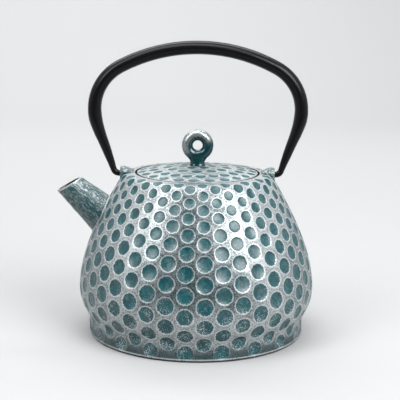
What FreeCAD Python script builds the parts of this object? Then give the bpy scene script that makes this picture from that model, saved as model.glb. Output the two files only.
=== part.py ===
"""A cast iron teapot with a bail handle, a lid with a ring knob and a steel infuser.

Units are millimetres, +Z is up. The origin is the centre of the face the pot stands on.
The spout points along -X, and the handle swings about an axis along X through the two lugs.
"""
import FreeCAD, Part
import math
import os

from FreeCAD import Vector

# Pot: outer form
BELLY_RADIUS = 82.0          # widest radius
BELLY_HEIGHT = 33.0          # height of the widest circle
FOOT_RADIUS = 75.2           # upright band that the pot stands on
FOOT_HEIGHT = 13.5           # top of that band, where the belly starts
FOOT_ROUND = 1.6             # rounded lower edge
TUCK_ANGLE = 40.0            # lean of the belly where it leaves the foot, from upright
TUCK_REACH = 4.0             # handles of the curve between foot and belly
BELLY_REACH_DOWN = 9.0
BELLY_REACH_UP = 20.0        # handles of the curve between belly and shoulder
FLANK_REACH = 34.0
FLANK_ANGLE = 31.5           # lean of the flank below the shoulder, from upright
FLANK_TOP_RADIUS = 53.2      # where the flank ends and the shoulder turns over
FLANK_TOP_HEIGHT = 108.6
SHOULDER_HEIGHT = 112.6      # top of the shoulder, at the mouth
SHOULDER_FALL = 0.5          # how much lower the shoulder is at its outer edge
SHOULDER_TURN = 4.6          # reach of the rounded shoulder edge

# Pot: inside
WALL = 3.5
FLOOR = 5.0
FLOOR_CORNER = 11.0          # radial reach of the curve from floor to wall
MOUTH_RADIUS = 36.5
SEAT_RADIUS = 43.4           # recess that takes the infuser's rim and the lid
SEAT_DEPTH = 4.1             # seat face below the top of the shoulder
SEAT_THICKNESS = 3.5

# Spout: two straight outlines in the XZ plane, from the flank to the mouth
SPOUT_TOP_ROOT = (62.6, 96.0)
SPOUT_TOP_TIP = (81.0, 108.4)
SPOUT_LOW_ROOT = (71.2, 70.5)
SPOUT_LOW_TIP = (97.0, 99.8)
SPOUT_ROOT_WIDTH = 25.0
SPOUT_TIP_WIDTH = 15.6
SPOUT_ROOT_WALL = 3.2
SPOUT_TIP_WALL = 2.3
SPOUT_RUN_IN = 0.45          # how far the outlines run on inside the pot, per length

# Lugs and handle
PIVOT_HEIGHT = 111.5
PIN_DIAMETER = 4.0
PIN_CLEARANCE = 0.3          # all round the pin
LUG_WALL = 2.7               # iron round the pin hole
LUG_FACE = 53.5              # outer face, from the pot's axis
LUG_LENGTH = 9.0
LUG_CREST = 3.2              # length of the lug's level top
LUG_SLOPE = 29.0             # fall of the lug's back towards the lid
PIN_DEPTH = 7.2              # how far a pin reaches into its lug
PIN_END_GAP = 0.6
LUG_GAP = 0.8                # from the lug's face to the start of the handle's bend

ARCH_HEIGHT = 198.6          # top of the handle's centre line
ARCH_RADIUS = 114.0          # of the long top curve
ARCH_HALF_WIDTH = 71.1       # of the centre line, at its widest
SHOULDER_BEND = 33.0         # radius of the two upper corners
LEG_BEND = 70.0              # radius of the bend towards the pot
HOOK_BEND = 5.0
GRIP_THICKNESS = 9.3         # in the plane of the arch
GRIP_WIDTH = 12.0            # across that plane
TAPER_START = 8.0            # arc length below the widest point where the taper starts
BEND_STATIONS = (0.0, 0.3, 0.65, 1.0)    # sections of a leg, as shares of its bend
STRAIGHT_STATIONS = (0.5, 1.0)           # and of its straight end

# Lid and knob
LID_GAP = 1.0                # between the lid's edge and the shoulder
LID_RISE = 4.9
LID_THICKNESS = 3.5
LID_EDGE_ROUND = 0.8
LID_SKIRT_HEIGHT = 6.0
LID_SKIRT_WALL = 2.4
LID_SKIRT_GAP = 0.6          # between the skirt and the infuser's collar
DIMPLE_RADIUS = 3.2          # hammered dimples on the lid, at its surface
DIMPLE_DEPTH = 0.6
DIMPLE_RINGS = (             # count, share of the lid's radius, angle of the first
    (7, 0.236, -111.7),
    (13, 0.481, -90.9),
    (22, 0.722, -168.0),
    (23, 0.898, -156.0),
)

KNOB_RING_DIAMETER = 22.0
KNOB_HOLE_DIAMETER = 7.8
KNOB_NECK_WIDTH = 10.0
KNOB_NECK_DEPTH = 8.0
KNOB_NECK_HEIGHT = 3.2       # clear height between lid and ring
KNOB_NECK_FLARE = 0.9
KNOB_TAPER_RISE = 0.5        # how far up the ring's lower half the neck's taper runs
KNOB_TAPER_INSET = 0.5       # of the taper's sides behind the ring's outline, per side
KNOB_TAPER_DEPTH = 5.7       # across the ring, at the taper's top
KNOB_SEAT_SINK = 0.1         # depth of the flat that the knob stands on below the dome's top
TENON_DIAMETER = 4.6
TENON_CLEARANCE = 0.1
TENON_ROOT = 1.0             # how far the tenon runs up into the neck
WASHER_DIAMETER = 11.0
WASHER_THICKNESS = 1.0
WASHER_MARGIN = 1.0          # flat under the lid round the washer
RIVET_DIAMETER = 7.2
RIVET_HEIGHT = 1.5
RIVET_TAPER = 0.9            # how much the peened end draws in, per side

# Infuser
SHEET = 0.7                  # rim plate
RIM_GAP = 1.4                # between the rim plate and the pot's recess
COLLAR_RADIUS = 33.6         # outside of the collar below the rim plate
COLLAR_HEIGHT = 6.8
MESH = 0.5
MESH_LAP = 3.6               # how far the mesh runs up over the collar
BASKET_DEPTH = 63.0
HEM = 0.6
HEM_HEIGHT = 4.6
HEM_LIP = 4.0

# Heights and radii that follow from these
seat_height = SHOULDER_HEIGHT - SEAT_DEPTH
rim_top = seat_height + SHEET
lid_radius = SEAT_RADIUS - LID_GAP
knob_tube = (KNOB_RING_DIAMETER - KNOB_HOLE_DIAMETER) / 4
knob_ring_radius = KNOB_RING_DIAMETER / 2 - knob_tube
knob_seat_radius = KNOB_NECK_WIDTH / 2 + KNOB_NECK_FLARE
washer_seat_radius = WASHER_DIAMETER / 2 + WASHER_MARGIN
knob_seat_height = SHOULDER_HEIGHT + LID_RISE - KNOB_SEAT_SINK
basket_floor = rim_top - BASKET_DEPTH
mesh_radius = COLLAR_RADIUS + MESH


def point(radius, height):
    """A point of a half section, in the XZ plane."""
    return Vector(radius, 0, height)


def lean(angle):
    """Unit direction that rises and leans outwards by an angle from upright."""
    return Vector(math.sin(math.radians(angle)), 0, math.cos(math.radians(angle)))


def inward(angle):
    """Unit normal of that direction, towards the axis."""
    return Vector(-math.cos(math.radians(angle)), 0, math.sin(math.radians(angle)))


def curve(*poles):
    """A Bezier edge."""
    bezier = Part.BezierCurve()
    bezier.setPoles(list(poles))
    return bezier.toShape()


def line(start, end):
    return Part.LineSegment(start, end).toShape()


def revolve(edges):
    """Turn a closed half section, which starts and ends on the axis or clear of it, about Z."""
    face = Part.Face(Part.Wire(Part.__sortEdges__(edges)))
    return face.revolve(Vector(0, 0, 0), Vector(0, 0, 1), 360)


def revolve_points(points):
    """Turn a half section with straight sides about Z."""
    return revolve([line(a, b) for a, b in zip(points, points[1:] + points[:1])])


def outer_form():
    """The pot's outside as a full solid: foot, belly, flank and rounded shoulder."""
    base_edge = point(FOOT_RADIUS - FOOT_ROUND, 0)
    foot_low = point(FOOT_RADIUS, FOOT_ROUND)
    foot_top = point(FOOT_RADIUS, FOOT_HEIGHT)
    belly = point(BELLY_RADIUS, BELLY_HEIGHT)
    flank_top = point(FLANK_TOP_RADIUS, FLANK_TOP_HEIGHT)
    shoulder = point(FLANK_TOP_RADIUS - SHOULDER_TURN, SHOULDER_HEIGHT - SHOULDER_FALL)
    mouth = point(SEAT_RADIUS, SHOULDER_HEIGHT)
    corner_in = shoulder + (shoulder - mouth).normalize() * (SHOULDER_TURN / 2)
    foot_turn = FOOT_ROUND * (1 - math.sqrt(0.5))
    round_mid = point(FOOT_RADIUS - foot_turn, foot_turn)
    return revolve([
        line(point(0, 0), base_edge),
        Part.Arc(base_edge, round_mid, foot_low).toShape(),
        line(foot_low, foot_top),
        curve(foot_top, foot_top + lean(TUCK_ANGLE) * TUCK_REACH,
              belly - Vector(0, 0, BELLY_REACH_DOWN), belly),
        curve(belly, belly + Vector(0, 0, BELLY_REACH_UP),
              flank_top - lean(-FLANK_ANGLE) * FLANK_REACH, flank_top),
        curve(flank_top, flank_top + lean(-FLANK_ANGLE) * (SHOULDER_TURN / 2),
              corner_in, shoulder),
        line(shoulder, mouth),
        line(mouth, point(0, SHOULDER_HEIGHT)),
        line(point(0, SHOULDER_HEIGHT), point(0, 0)),
    ])


def inner_form():
    """The hollow: floor, wall one wall thickness inside the outside, mouth and seat recess."""
    under_seat = seat_height - SEAT_THICKNESS
    tuck = point(FOOT_RADIUS, FOOT_HEIGHT) + inward(TUCK_ANGLE) * WALL
    floor_edge = point(tuck.x - FLOOR_CORNER, FLOOR)
    belly = point(BELLY_RADIUS - WALL, BELLY_HEIGHT)
    wall_top = point(FLANK_TOP_RADIUS, FLANK_TOP_HEIGHT) + inward(-FLANK_ANGLE) * WALL
    run_down = (wall_top.z - under_seat) / math.cos(math.radians(FLANK_ANGLE))
    wall_end = wall_top - lean(-FLANK_ANGLE) * run_down
    half_corner = FLOOR_CORNER / 2
    return revolve([
        line(point(0, FLOOR), floor_edge),
        curve(floor_edge, floor_edge + Vector(half_corner, 0, 0),
              tuck - lean(TUCK_ANGLE) * half_corner, tuck),
        curve(tuck, tuck + lean(TUCK_ANGLE) * TUCK_REACH,
              belly - Vector(0, 0, BELLY_REACH_DOWN), belly),
        curve(belly, belly + Vector(0, 0, BELLY_REACH_UP),
              wall_end - lean(-FLANK_ANGLE) * (FLANK_REACH - run_down), wall_end),
        line(wall_end, point(MOUTH_RADIUS, under_seat)),
        line(point(MOUTH_RADIUS, under_seat), point(MOUTH_RADIUS, seat_height)),
        line(point(MOUTH_RADIUS, seat_height), point(SEAT_RADIUS, seat_height)),
        line(point(SEAT_RADIUS, seat_height), point(SEAT_RADIUS, SHOULDER_HEIGHT + WALL)),
        line(point(SEAT_RADIUS, SHOULDER_HEIGHT + WALL), point(0, SHOULDER_HEIGHT + WALL)),
        line(point(0, SHOULDER_HEIGHT + WALL), point(0, FLOOR)),
    ])


def spout_section(top, low, width):
    """An oval across the spout with one axis in the XZ plane and the other along Y."""
    middle = (top + low) * 0.5
    side = middle + Vector(0, width / 2, 0)
    ends = (top, side) if (top - middle).Length >= width / 2 else (side, top)
    oval = Part.Ellipse(*ends, middle)
    return Part.Wire(oval.toShape())


def spout_form(wall_root, wall_tip, run_out):
    """A straight tapered spout, thinner by a wall at root and tip, run on past the tip."""
    top_root, top_tip = [Vector(-x, 0, z) for x, z in (SPOUT_TOP_ROOT, SPOUT_TOP_TIP)]
    low_root, low_tip = [Vector(-x, 0, z) for x, z in (SPOUT_LOW_ROOT, SPOUT_LOW_TIP)]
    across_root = (low_root - top_root).normalize()
    across_tip = (low_tip - top_tip).normalize()
    top_root, low_root = top_root + across_root * wall_root, low_root - across_root * wall_root
    top_tip, low_tip = top_tip + across_tip * wall_tip, low_tip - across_tip * wall_tip
    width_root = SPOUT_ROOT_WIDTH - 2 * wall_root
    width_tip = SPOUT_TIP_WIDTH - 2 * wall_tip

    def section(along):
        """The oval at a share of the way from root, 0, to tip, 1."""
        top = top_root + (top_tip - top_root) * along
        low = low_root + (low_tip - low_root) * along
        return spout_section(top, low, width_root + (width_tip - width_root) * along)

    return Part.makeLoft([section(-SPOUT_RUN_IN), section(1 + run_out)], True, True)


def lug_form(side):
    """One lug: a round-topped ear on the shoulder, with a back that slopes to the lid."""
    radius = PIN_DIAMETER / 2 + PIN_CLEARANCE + LUG_WALL
    back = LUG_FACE - LUG_LENGTH
    ear = Part.makeCylinder(radius, LUG_LENGTH, Vector(back, 0, PIVOT_HEIGHT), Vector(1, 0, 0))
    root = Part.makeBox(LUG_LENGTH, 2 * radius, radius, Vector(back, -radius, PIVOT_HEIGHT - radius))
    crest = Vector(LUG_FACE - LUG_CREST, 0, PIVOT_HEIGHT + radius)
    fall = math.tan(math.radians(LUG_SLOPE)) * (LUG_LENGTH - LUG_CREST)
    cut = Part.makePolygon([
        crest,
        Vector(back, 0, crest.z - fall),
        Vector(back, 0, crest.z + radius),
        Vector(crest.x, 0, crest.z + radius),
        crest,
    ])
    cut = Part.Face(cut).extrude(Vector(0, 2 * radius, 0))
    cut.translate(Vector(0, -radius, 0))
    lug = ear.fuse(root).cut(cut)
    if side < 0:
        lug.rotate(Vector(0, 0, 0), Vector(0, 0, 1), 180)
    return lug


def pin_hole(side):
    """The blind hole in a lug that takes a pin of the handle."""
    start = LUG_FACE - PIN_DEPTH - PIN_END_GAP
    hole = Part.makeCylinder(PIN_DIAMETER / 2 + PIN_CLEARANCE, 2 * PIN_DEPTH,
                             Vector(start, 0, PIVOT_HEIGHT), Vector(1, 0, 0))
    if side < 0:
        hole.rotate(Vector(0, 0, 0), Vector(0, 0, 1), 180)
    return hole


def pot_body():
    """One casting: the pot with its spout, lugs and seat."""
    pot = outer_form().multiFuse([spout_form(0, 0, 0), lug_form(1), lug_form(-1)])
    pot = pot.cut(inner_form())
    pot = pot.cut(spout_form(SPOUT_ROOT_WALL, SPOUT_TIP_WALL, SPOUT_RUN_IN))
    return pot.cut(pin_hole(1).fuse(pin_hole(-1)))


def lid():
    """A shallow dimpled dome with a skirt that locates it in the infuser's collar."""
    chord = lid_radius
    dome = (chord ** 2 + LID_RISE ** 2) / (2 * LID_RISE)

    def dome_height(radius):
        """Height of the dome's top surface at a radius."""
        return SHOULDER_HEIGHT + LID_RISE - dome + math.sqrt(dome ** 2 - radius ** 2)

    def over(radius):
        return point(radius, dome_height(radius))

    def under(radius):
        return point(radius, dome_height(radius) - LID_THICKNESS)

    skirt = COLLAR_RADIUS - SHEET - LID_SKIRT_GAP
    skirt_in = skirt - LID_SKIRT_WALL
    skirt_low = rim_top - LID_SKIRT_HEIGHT
    hole = TENON_DIAMETER / 2 + TENON_CLEARANCE
    seat = washer_seat_radius
    edge_in = lid_radius - LID_EDGE_ROUND
    side_top = point(lid_radius, dome_height(edge_in) - LID_EDGE_ROUND)
    shallow = LID_EDGE_ROUND * (1 - math.sqrt(0.5))
    washer_seat = knob_seat_height - LID_THICKNESS
    mid_over = (knob_seat_radius + edge_in) / 2
    mid_under = (seat + skirt_in) / 2
    corners = [
        over(edge_in),
        side_top,
        point(lid_radius, rim_top),
        point(skirt, rim_top),
        point(skirt, skirt_low),
        point(skirt_in, skirt_low),
        under(skirt_in),
    ]
    edges = [
        line(point(hole, knob_seat_height), point(knob_seat_radius, knob_seat_height)),
        line(point(knob_seat_radius, knob_seat_height), over(knob_seat_radius)),
        Part.Arc(over(knob_seat_radius), over(mid_over), over(edge_in)).toShape(),
        Part.Arc(corners[0], point(lid_radius - shallow, corners[0].z - shallow), side_top).toShape(),
    ]
    edges += [line(a, b) for a, b in zip(corners[1:], corners[2:])]
    edges += [
        Part.Arc(under(skirt_in), under(mid_under), under(seat)).toShape(),
        line(under(seat), point(seat, washer_seat)),
        line(point(seat, washer_seat), point(hole, washer_seat)),
        line(point(hole, washer_seat), point(hole, knob_seat_height)),
    ]
    blank = revolve([edge for edge in edges if edge.Length > 1e-6])

    ball = (DIMPLE_RADIUS ** 2 + DIMPLE_DEPTH ** 2) / (2 * DIMPLE_DEPTH)
    dome_centre = Vector(0, 0, SHOULDER_HEIGHT + LID_RISE - dome)
    marks = []
    for count, share, first in DIMPLE_RINGS:
        up = (over(share * lid_radius) - dome_centre).normalize()
        middle = dome_centre + up * (dome + ball - DIMPLE_DEPTH)
        for index in range(count):
            mark = Part.makeSphere(ball, middle, Vector(1, 0, 0))
            mark.rotate(Vector(0, 0, 0), Vector(0, 0, 1), first + index * 360 / count)
            marks.append(mark)
    return blank.cut(marks)


def neck_section(width, depth, height):
    """An oval across the knob's neck, long axis along X."""
    middle = Vector(0, 0, height)
    oval = Part.Ellipse(middle + Vector(width / 2, 0, 0), middle + Vector(0, depth / 2, 0), middle)
    return Part.Wire(oval.toShape())


def lid_knob():
    """A cast ring on a short neck, with a tenon through the lid and a peened end."""
    ring_low = knob_seat_height + KNOB_NECK_HEIGHT
    ring_out = KNOB_RING_DIAMETER / 2
    centre = ring_low + ring_out
    ring = Part.makeTorus(knob_ring_radius, knob_tube, Vector(0, 0, centre), Vector(0, 1, 0))
    taper_top = ring_low + ring_out * KNOB_TAPER_RISE
    taper_width = 2 * math.sqrt(ring_out ** 2 - (centre - taper_top) ** 2) - 2 * KNOB_TAPER_INSET
    neck = Part.makeLoft([
        neck_section(KNOB_NECK_WIDTH + 2 * KNOB_NECK_FLARE, KNOB_NECK_DEPTH + 2 * KNOB_NECK_FLARE,
                     knob_seat_height),
        neck_section(KNOB_NECK_WIDTH, KNOB_NECK_DEPTH, ring_low),
        neck_section(taper_width, KNOB_TAPER_DEPTH, taper_top),
    ], True, True)
    washer_low = knob_seat_height - LID_THICKNESS - WASHER_THICKNESS
    tenon = Part.makeCylinder(TENON_DIAMETER / 2, knob_seat_height + TENON_ROOT - washer_low,
                              Vector(0, 0, washer_low))
    rivet = Part.makeCone(RIVET_DIAMETER / 2 - RIVET_TAPER, RIVET_DIAMETER / 2, RIVET_HEIGHT,
                          Vector(0, 0, washer_low - RIVET_HEIGHT))
    return ring.multiFuse([neck, tenon, rivet]).removeSplitter()


def knob_washer():
    """The plain washer under the lid that the tenon is peened over."""
    low = knob_seat_height - LID_THICKNESS - WASHER_THICKNESS
    hole = TENON_DIAMETER / 2 + TENON_CLEARANCE
    return revolve_points([
        point(hole, low),
        point(WASHER_DIAMETER / 2, low),
        point(WASHER_DIAMETER / 2, low + WASHER_THICKNESS),
        point(hole, low + WASHER_THICKNESS),
    ])


def infuser_rim():
    """A pressed plate that rests on the seat, with a collar turned down from it."""
    return revolve_points([
        point(COLLAR_RADIUS - SHEET, rim_top - COLLAR_HEIGHT),
        point(COLLAR_RADIUS, rim_top - COLLAR_HEIGHT),
        point(COLLAR_RADIUS, seat_height),
        point(SEAT_RADIUS - RIM_GAP, seat_height),
        point(SEAT_RADIUS - RIM_GAP, rim_top),
        point(COLLAR_RADIUS - SHEET, rim_top),
    ])


def infuser_wall():
    """The sleeve of woven mesh, lapped over the collar."""
    top = rim_top - COLLAR_HEIGHT + MESH_LAP
    low = basket_floor + HEM + MESH
    return revolve_points([
        point(COLLAR_RADIUS, low),
        point(mesh_radius, low),
        point(mesh_radius, top),
        point(COLLAR_RADIUS, top),
    ])


def infuser_floor():
    """The round of mesh that closes the sleeve."""
    return Part.makeCylinder(mesh_radius, MESH, Vector(0, 0, basket_floor + HEM))


def infuser_floor_ring():
    """The hem that folds round the edge of sleeve and floor."""
    return revolve_points([
        point(mesh_radius - HEM_LIP, basket_floor),
        point(mesh_radius + HEM, basket_floor),
        point(mesh_radius + HEM, basket_floor + HEM_HEIGHT),
        point(mesh_radius, basket_floor + HEM_HEIGHT),
        point(mesh_radius, basket_floor + HEM),
        point(mesh_radius - HEM_LIP, basket_floor + HEM),
    ])


def handle_section(place, heading, thickness, width):
    """An oval across the handle at a point of its centre line."""
    across = Vector(heading.z, 0, -heading.x)
    side = place + Vector(0, width / 2, 0)
    edge = place + across * (thickness / 2)
    oval = Part.Ellipse(side, edge, place) if width > thickness else Part.Circle(
        place, heading, thickness / 2)
    return Part.Wire(oval.toShape())


def leg_bend(widest):
    """Radius and angle, in radians, of the bend that brings the hooks to the lugs' faces.

    The radius is LEG_BEND, or what the room above the pivot leaves, as a fillet by its wall.
    """
    hook_x = LUG_FACE + LUG_GAP

    def reach(bend, angle):
        """How far out the hook ends for a bend of this radius and angle."""
        bend_x = widest.x - bend * (1 - math.cos(angle))
        bend_z = widest.z - bend * math.sin(angle)
        corner_x = bend_x - (bend_z - PIVOT_HEIGHT) * math.tan(angle)
        return corner_x - HOOK_BEND * math.tan((math.pi / 2 - angle) / 2)

    def steepest(bend):
        """The largest angle at which the bend still ends above the pivot."""
        return min(math.radians(80), math.asin(min(1.0, (widest.z - PIVOT_HEIGHT) / bend)))

    bend = LEG_BEND
    while reach(bend, steepest(bend)) > hook_x:
        bend *= 0.9
    low, high = 0.0, steepest(bend)
    for _ in range(60):
        angle = (low + high) / 2
        if reach(bend, angle) > hook_x:
            low = angle
        else:
            high = angle
    return bend, angle


def bail_handle():
    """The arched handle: a long top curve, two corners, tapered legs, hooks and pins."""
    axis = Vector(0, 1, 0)
    arch_centre = point(0, ARCH_HEIGHT - ARCH_RADIUS)
    corner_x = ARCH_HALF_WIDTH - SHOULDER_BEND
    corner_angle = math.asin(corner_x / (ARCH_RADIUS - SHOULDER_BEND))
    corner_centre = arch_centre + lean(math.degrees(corner_angle)) * (ARCH_RADIUS - SHOULDER_BEND)
    widest = corner_centre + Vector(SHOULDER_BEND, 0, 0)

    top = Part.Face(handle_section(point(0, ARCH_HEIGHT), Vector(1, 0, 0), GRIP_THICKNESS, GRIP_WIDTH))
    half = top.revolve(arch_centre, axis, math.degrees(corner_angle))
    turned = Part.Face(handle_section(arch_centre + lean(math.degrees(corner_angle)) * ARCH_RADIUS,
                                      Vector(math.cos(corner_angle), 0, -math.sin(corner_angle)),
                                      GRIP_THICKNESS, GRIP_WIDTH))
    corner = turned.revolve(corner_centre, axis, 90 - math.degrees(corner_angle))

    bend, leg_angle = leg_bend(widest)
    leg_centre = widest - Vector(bend, 0, 0)
    straight = leg_centre + Vector(math.cos(leg_angle), 0, -math.sin(leg_angle)) * bend
    down = Vector(-math.sin(leg_angle), 0, -math.cos(leg_angle))
    turn = math.pi / 2 - leg_angle
    tangent = HOOK_BEND * math.tan(turn / 2)
    to_corner = (straight.z - PIVOT_HEIGHT) / math.cos(leg_angle)
    leg_end = straight + down * (to_corner - tangent)
    hook_centre = leg_end + Vector(-math.cos(leg_angle), 0, math.sin(leg_angle)) * HOOK_BEND
    taper_length = bend * leg_angle + (leg_end - straight).Length - TAPER_START

    def size_at(run):
        """Thickness and width at an arc length below the widest point."""
        share = max(0.0, (run - TAPER_START) / taper_length)
        return (GRIP_THICKNESS + (PIN_DIAMETER - GRIP_THICKNESS) * share,
                GRIP_WIDTH + (PIN_DIAMETER - GRIP_WIDTH) * share)

    sections = []
    for turned_by in BEND_STATIONS:
        angle = turned_by * leg_angle
        place = leg_centre + Vector(math.cos(angle), 0, -math.sin(angle)) * bend
        heading = Vector(-math.sin(angle), 0, -math.cos(angle))
        sections.append(handle_section(place, heading, *size_at(bend * angle)))
    bend_length = bend * leg_angle
    straight_length = (leg_end - straight).Length
    for share in STRAIGHT_STATIONS:
        place = straight + down * (straight_length * share)
        sections.append(handle_section(place, down, *size_at(bend_length + straight_length * share)))
    leg = Part.makeLoft(sections, True, False)
    end = Part.Face(handle_section(leg_end, down, PIN_DIAMETER, PIN_DIAMETER))
    hook = end.revolve(hook_centre, axis, math.degrees(turn))
    pin_start = LUG_FACE - PIN_DEPTH
    pin = Part.makeCylinder(PIN_DIAMETER / 2, hook_centre.x - pin_start,
                            Vector(pin_start, 0, PIVOT_HEIGHT), Vector(1, 0, 0))
    right = half.multiFuse([corner, leg, hook, pin])
    left = right.copy()
    left.rotate(Vector(0, 0, 0), Vector(0, 0, 1), 180)
    return right.fuse(left).removeSplitter()


NODES = (pot_body, lid, lid_knob, knob_washer, infuser_rim, infuser_wall, infuser_floor,
         infuser_floor_ring, bail_handle)

os.makedirs("parts", exist_ok=True)
for make in NODES:
    shape = make()
    shape.exportStep("parts/" + make.__name__ + ".step")
    box = shape.BoundBox
    print(make.__name__, "solids", len(shape.Solids), "valid", shape.isValid(),
          "volume", round(shape.Volume), "x", round(box.XMin, 1), round(box.XMax, 1),
          "z", round(box.ZMin, 1), round(box.ZMax, 1))
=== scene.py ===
# %% [markdown]
# # A dimpled cast iron teapot
#
# The pot is one heavy casting with a short spout and two lugs. Its outside is covered in
# hammered dimples: teal enamel in the hollows and brushed silver on the lands between them.
# A lid with a ring knob sits in the mouth over a steel infuser, and a black bail handle swings
# in the lugs. The measured model comes in first, and every shape below is made to fit it.

import math
import random

import bmesh
import bpy
import numpy as np
from mathutils import Matrix, Vector


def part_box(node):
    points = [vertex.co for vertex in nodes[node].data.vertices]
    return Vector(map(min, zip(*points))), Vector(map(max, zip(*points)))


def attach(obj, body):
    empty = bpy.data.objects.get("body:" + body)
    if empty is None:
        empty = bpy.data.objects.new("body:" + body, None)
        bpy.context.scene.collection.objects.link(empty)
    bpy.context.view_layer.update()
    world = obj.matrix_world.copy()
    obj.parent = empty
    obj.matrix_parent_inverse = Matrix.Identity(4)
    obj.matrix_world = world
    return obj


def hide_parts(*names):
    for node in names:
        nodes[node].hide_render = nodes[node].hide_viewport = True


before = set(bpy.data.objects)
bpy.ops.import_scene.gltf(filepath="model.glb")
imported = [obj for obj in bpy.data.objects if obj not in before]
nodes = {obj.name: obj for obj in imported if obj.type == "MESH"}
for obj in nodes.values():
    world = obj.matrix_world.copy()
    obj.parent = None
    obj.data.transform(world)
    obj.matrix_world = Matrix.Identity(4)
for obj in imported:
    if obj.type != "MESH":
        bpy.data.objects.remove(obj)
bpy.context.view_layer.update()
print("nodes:", ", ".join(sorted(nodes)))

# %% [markdown]
# ## Camera
#
# The photograph was taken with a long lens from a little above the lid. A camera is a matrix:
# its columns are the directions to the right, up and backwards. They follow from three angles,
# so the camera is set once from the angles instead of being nudged into place.

# %% Set the camera


def add_object(name, data):
    """Add an object to the scene for a mesh, lamp or camera."""
    made = bpy.data.objects.new(name, data)
    bpy.context.scene.collection.objects.link(made)
    return made


CAMERA_PLACE = Vector((0.0, -0.735, 0.2366))
CAMERA_PITCH = math.radians(11.06)
CAMERA_YAW = math.radians(0.16)
CAMERA_ROLL = math.radians(0.67)

ahead = Vector((
    math.sin(CAMERA_YAW) * math.cos(CAMERA_PITCH),
    math.cos(CAMERA_YAW) * math.cos(CAMERA_PITCH),
    -math.sin(CAMERA_PITCH),
))
level = Vector((math.cos(CAMERA_YAW), -math.sin(CAMERA_YAW), 0.0))
upright = level.cross(ahead)
right = math.cos(CAMERA_ROLL) * level + math.sin(CAMERA_ROLL) * upright
above = math.cos(CAMERA_ROLL) * upright - math.sin(CAMERA_ROLL) * level

lens = bpy.data.cameras.new("studio_camera")
lens.lens = 96.43
lens.sensor_width = 36.0
lens.clip_start = 0.01
studio_camera = add_object("studio_camera", lens)
turn = Matrix((right, above, -ahead)).transposed().to_4x4()
studio_camera.matrix_world = Matrix.Translation(CAMERA_PLACE) @ turn
bpy.context.scene.camera = studio_camera
bpy.context.scene.view_settings.view_transform = "Standard"
print("camera", [round(value, 4) for value in studio_camera.location])

# %% [markdown]
# ## Studio
#
# The pot stands on a pale sheet that sweeps up behind it with no visible corner. A plane is
# extruded at its far edge in small turns to make that sweep. Two tall soft lamps at the front
# left and front right give the two broad highlights on the belly, one hangs over the pot, one
# lights the sweep, and a pale world fills in. The world is dimmer behind the camera, which leaves
# the darker band down the middle of the pot. Shaders are nets of nodes. With the classes below a
# node's output can be used in a sum, and each sum adds its nodes, so a finish reads like a recipe.

# %% Nets of shader nodes


class Value:
    """A node's output. A sum written with it adds a Math node to its net."""

    def __init__(self, net, socket):
        self.net = net
        self.socket = socket

    def math(self, operation, *inputs):
        return self.net.add("Math", 0, *inputs, operation=operation)

    def __add__(self, other):
        return self.math("ADD", self, other)

    def __sub__(self, other):
        return self.math("SUBTRACT", self, other)

    def __rsub__(self, other):
        return self.math("SUBTRACT", other, self)

    def __mul__(self, other):
        return self.math("MULTIPLY", self, other)

    def __rtruediv__(self, other):
        return self.math("DIVIDE", other, self)

    def __abs__(self):
        return self.math("ABSOLUTE", self)

    def most(self, other):
        return self.math("MAXIMUM", self, other)

    def step(self, low, high):
        """0 below low, 1 above high, smooth between."""
        return self.net.add("MapRange", "Result", self, interpolation_type="SMOOTHSTEP",
                            From_Min=low, From_Max=high)


class Net:
    """A node tree, with a short call for each kind of node that the finishes use."""

    def __init__(self, tree):
        self.tree = tree

    def feed(self, socket, value):
        """Link a socket to a node's output, or set it to a plain value."""
        if isinstance(value, Value):
            self.tree.links.new(value.socket, socket)
        else:
            socket.default_value = value

    def add(self, kind, output, *inputs, **values):
        """Add a node with properties and inputs by name and its first inputs. Gives one output."""
        made = self.tree.nodes.new("ShaderNode" + kind)
        for name, value in values.items():
            if hasattr(made, name):
                setattr(made, name, value)
            else:
                self.feed(made.inputs[name.replace("_", " ")], value)
        for socket, value in zip(made.inputs, inputs):
            self.feed(socket, value)
        return Value(self, made.outputs[output])

    def noise(self, place, scale, detail, roughness=0.5):
        return self.add("TexNoise", "Fac", place, Scale=scale, Detail=detail, Roughness=roughness)

    def mix(self, share, under, over):
        """Mix two colours, each an output or a plain colour."""
        made = self.tree.nodes.new("ShaderNodeMix")
        made.data_type = "RGBA"
        for index, value in ((0, share), (6, under), (7, over)):
            self.feed(made.inputs[index], value)
        return Value(self, made.outputs[2])

    def group(self, inner, place, **values):
        """Put a group at a place, with its own values. Gives its one output."""
        return self.add("Group", 0, place, node_tree=inner.tree, **values)


class Finish(Net):
    """A material with one Principled shader."""

    def __init__(self, name):
        self.material = bpy.data.materials.new(name)
        self.material.use_nodes = True
        super().__init__(self.material.node_tree)
        self.shader = self.tree.nodes["Principled BSDF"]

    def here(self):
        """The place on the piece."""
        return self.add("TexCoord", "Object")

    def set(self, **values):
        """Feed the shader's own sockets."""
        for name, value in values.items():
            self.feed(self.shader.inputs[name.replace("_", " ")], value)

    def bump(self, height, strength, distance):
        self.set(Normal=self.add("Bump", "Normal", Height=height, Strength=strength, Distance=distance))

    def tell(self):
        print("material:", self.material.name, len(self.tree.nodes), "nodes")


# %% Helpers for editing meshes


def object_mode():
    """Leave edit mode."""
    bpy.ops.object.mode_set(mode="OBJECT")


def edit_mode():
    """Edit the mesh of the active object."""
    bpy.ops.object.mode_set(mode="EDIT")


def pick_all():
    """Select the whole mesh in edit mode."""
    bpy.ops.mesh.select_all(action="SELECT")


def apply_moves():
    """Put the active object's place, turn and size into its mesh."""
    bpy.ops.object.transform_apply(location=True, rotation=True, scale=True)


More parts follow.
